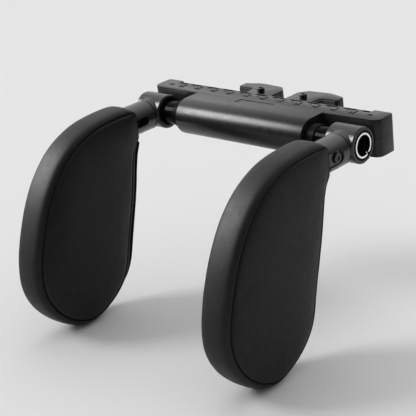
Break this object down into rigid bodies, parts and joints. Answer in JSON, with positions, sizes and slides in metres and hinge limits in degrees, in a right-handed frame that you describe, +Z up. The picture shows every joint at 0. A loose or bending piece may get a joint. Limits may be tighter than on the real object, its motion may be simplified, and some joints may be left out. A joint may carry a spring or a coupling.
{
  "type": "car headrest side support",
  "caption": "Cross bar that clamps to a car seat's headrest posts and carries hinged, swivelling padded side wings that support a sitter's head.",
  "frame": {"origin": "middle of the flat rear face of the clamp rail, between the two jaws", "axes": "+X to the right as seen by someone facing the pads, +Y backwards to the posts, +Z up"},
  "size_m": [0.262, 0.2607, 0.1845],
  "materials": {
    "moulding": "satin black",
    "dark_plastic": "satin black",
    "tube_metal": "gloss black",
    "rail_metal": "black anodised",
    "knuckle_metal": "satin gunmetal",
    "screw_steel": "blackened",
    "rubber": "matte",
    "leather": "fine grain, semi-matte",
    "foam": "open foam"
  },
  "bodies": {
    "cross_bar": {"housing_top": "moulding", "housing_bottom": "moulding", "housing_screw_1": "screw_steel", "housing_screw_2": "screw_steel", "housing_screw_3": "screw_steel", "housing_screw_4": "screw_steel", "clamp_rail": "rail_metal", "rail_screw_1": "screw_steel", "rail_screw_2": "screw_steel", "rail_screw_3": "screw_steel", "rail_screw_4": "screw_steel", "left_tube_bush": "dark_plastic", "right_tube_bush": "dark_plastic"},
    "left_tube": {"left_tube": "tube_metal", "left_tube_stop": "screw_steel", "left_tube_plug": "dark_plastic"},
    "left_knuckle": {"left_knuckle": "knuckle_metal", "left_friction_bush": "dark_plastic", "left_swivel_bolt": "screw_steel"},
    "left_pad": {"left_arm_sleeve": "dark_plastic", "left_neck_screw": "screw_steel", "left_neck_nut": "screw_steel", "left_pad_core": "dark_plastic", "left_pad_foam": "foam", "left_pad_cover": "leather", "left_pad_spine": "dark_plastic"},
    "left_jaw": {"left_clamp_jaw": "moulding", "left_jaw_liner": "rubber", "left_clamp_screw": "screw_steel", "left_clamp_nut": "screw_steel"},
    "right_tube": {"right_tube": "tube_metal", "right_tube_stop": "screw_steel", "right_tube_plug": "dark_plastic"},
    "right_knuckle": {"right_knuckle": "knuckle_metal", "right_friction_bush": "dark_plastic", "right_swivel_bolt": "screw_steel"},
    "right_pad": {"right_arm_sleeve": "dark_plastic", "right_neck_screw": "screw_steel", "right_neck_nut": "screw_steel", "right_pad_core": "dark_plastic", "right_pad_foam": "foam", "right_pad_cover": "leather", "right_pad_spine": "dark_plastic"},
    "right_jaw": {"right_clamp_jaw": "moulding", "right_jaw_liner": "rubber", "right_clamp_screw": "screw_steel", "right_clamp_nut": "screw_steel"}
  },
  "joints": [
    {"name": "left_tube_slide", "type": "slide", "parent": "cross_bar", "child": "left_tube", "axis": [-1, 0, 0], "range_m": [-0.013, 0.02]},
    {"name": "left_arm_pitch", "type": "hinge", "parent": "left_tube", "child": "left_knuckle", "pos_m": [-0.112, -0.044, 0], "axis": [1, 0, 0], "range_deg": [-90, 90]},
    {"name": "left_pad_swivel", "type": "hinge", "parent": "left_knuckle", "child": "left_pad", "pos_m": [-0.112, -0.061, 0], "axis": [0, 1, 0], "range_deg": [-25, 60]},
    {"name": "left_jaw_slide", "type": "slide", "parent": "cross_bar", "child": "left_jaw", "axis": [-1, 0, 0], "range_m": [-0.008, 0.06]},
    {"name": "right_tube_slide", "type": "slide", "parent": "cross_bar", "child": "right_tube", "axis": [1, 0, 0], "range_m": [-0.013, 0.02]},
    {"name": "right_arm_pitch", "type": "hinge", "parent": "right_tube", "child": "right_knuckle", "pos_m": [0.112, -0.044, 0], "axis": [1, 0, 0], "range_deg": [-90, 90]},
    {"name": "right_pad_swivel", "type": "hinge", "parent": "right_knuckle", "child": "right_pad", "pos_m": [0.112, -0.061, 0], "axis": [0, -1, 0], "range_deg": [-25, 60]},
    {"name": "right_jaw_slide", "type": "slide", "parent": "cross_bar", "child": "right_jaw", "axis": [1, 0, 0], "range_m": [-0.008, 0.06]}
  ]
}
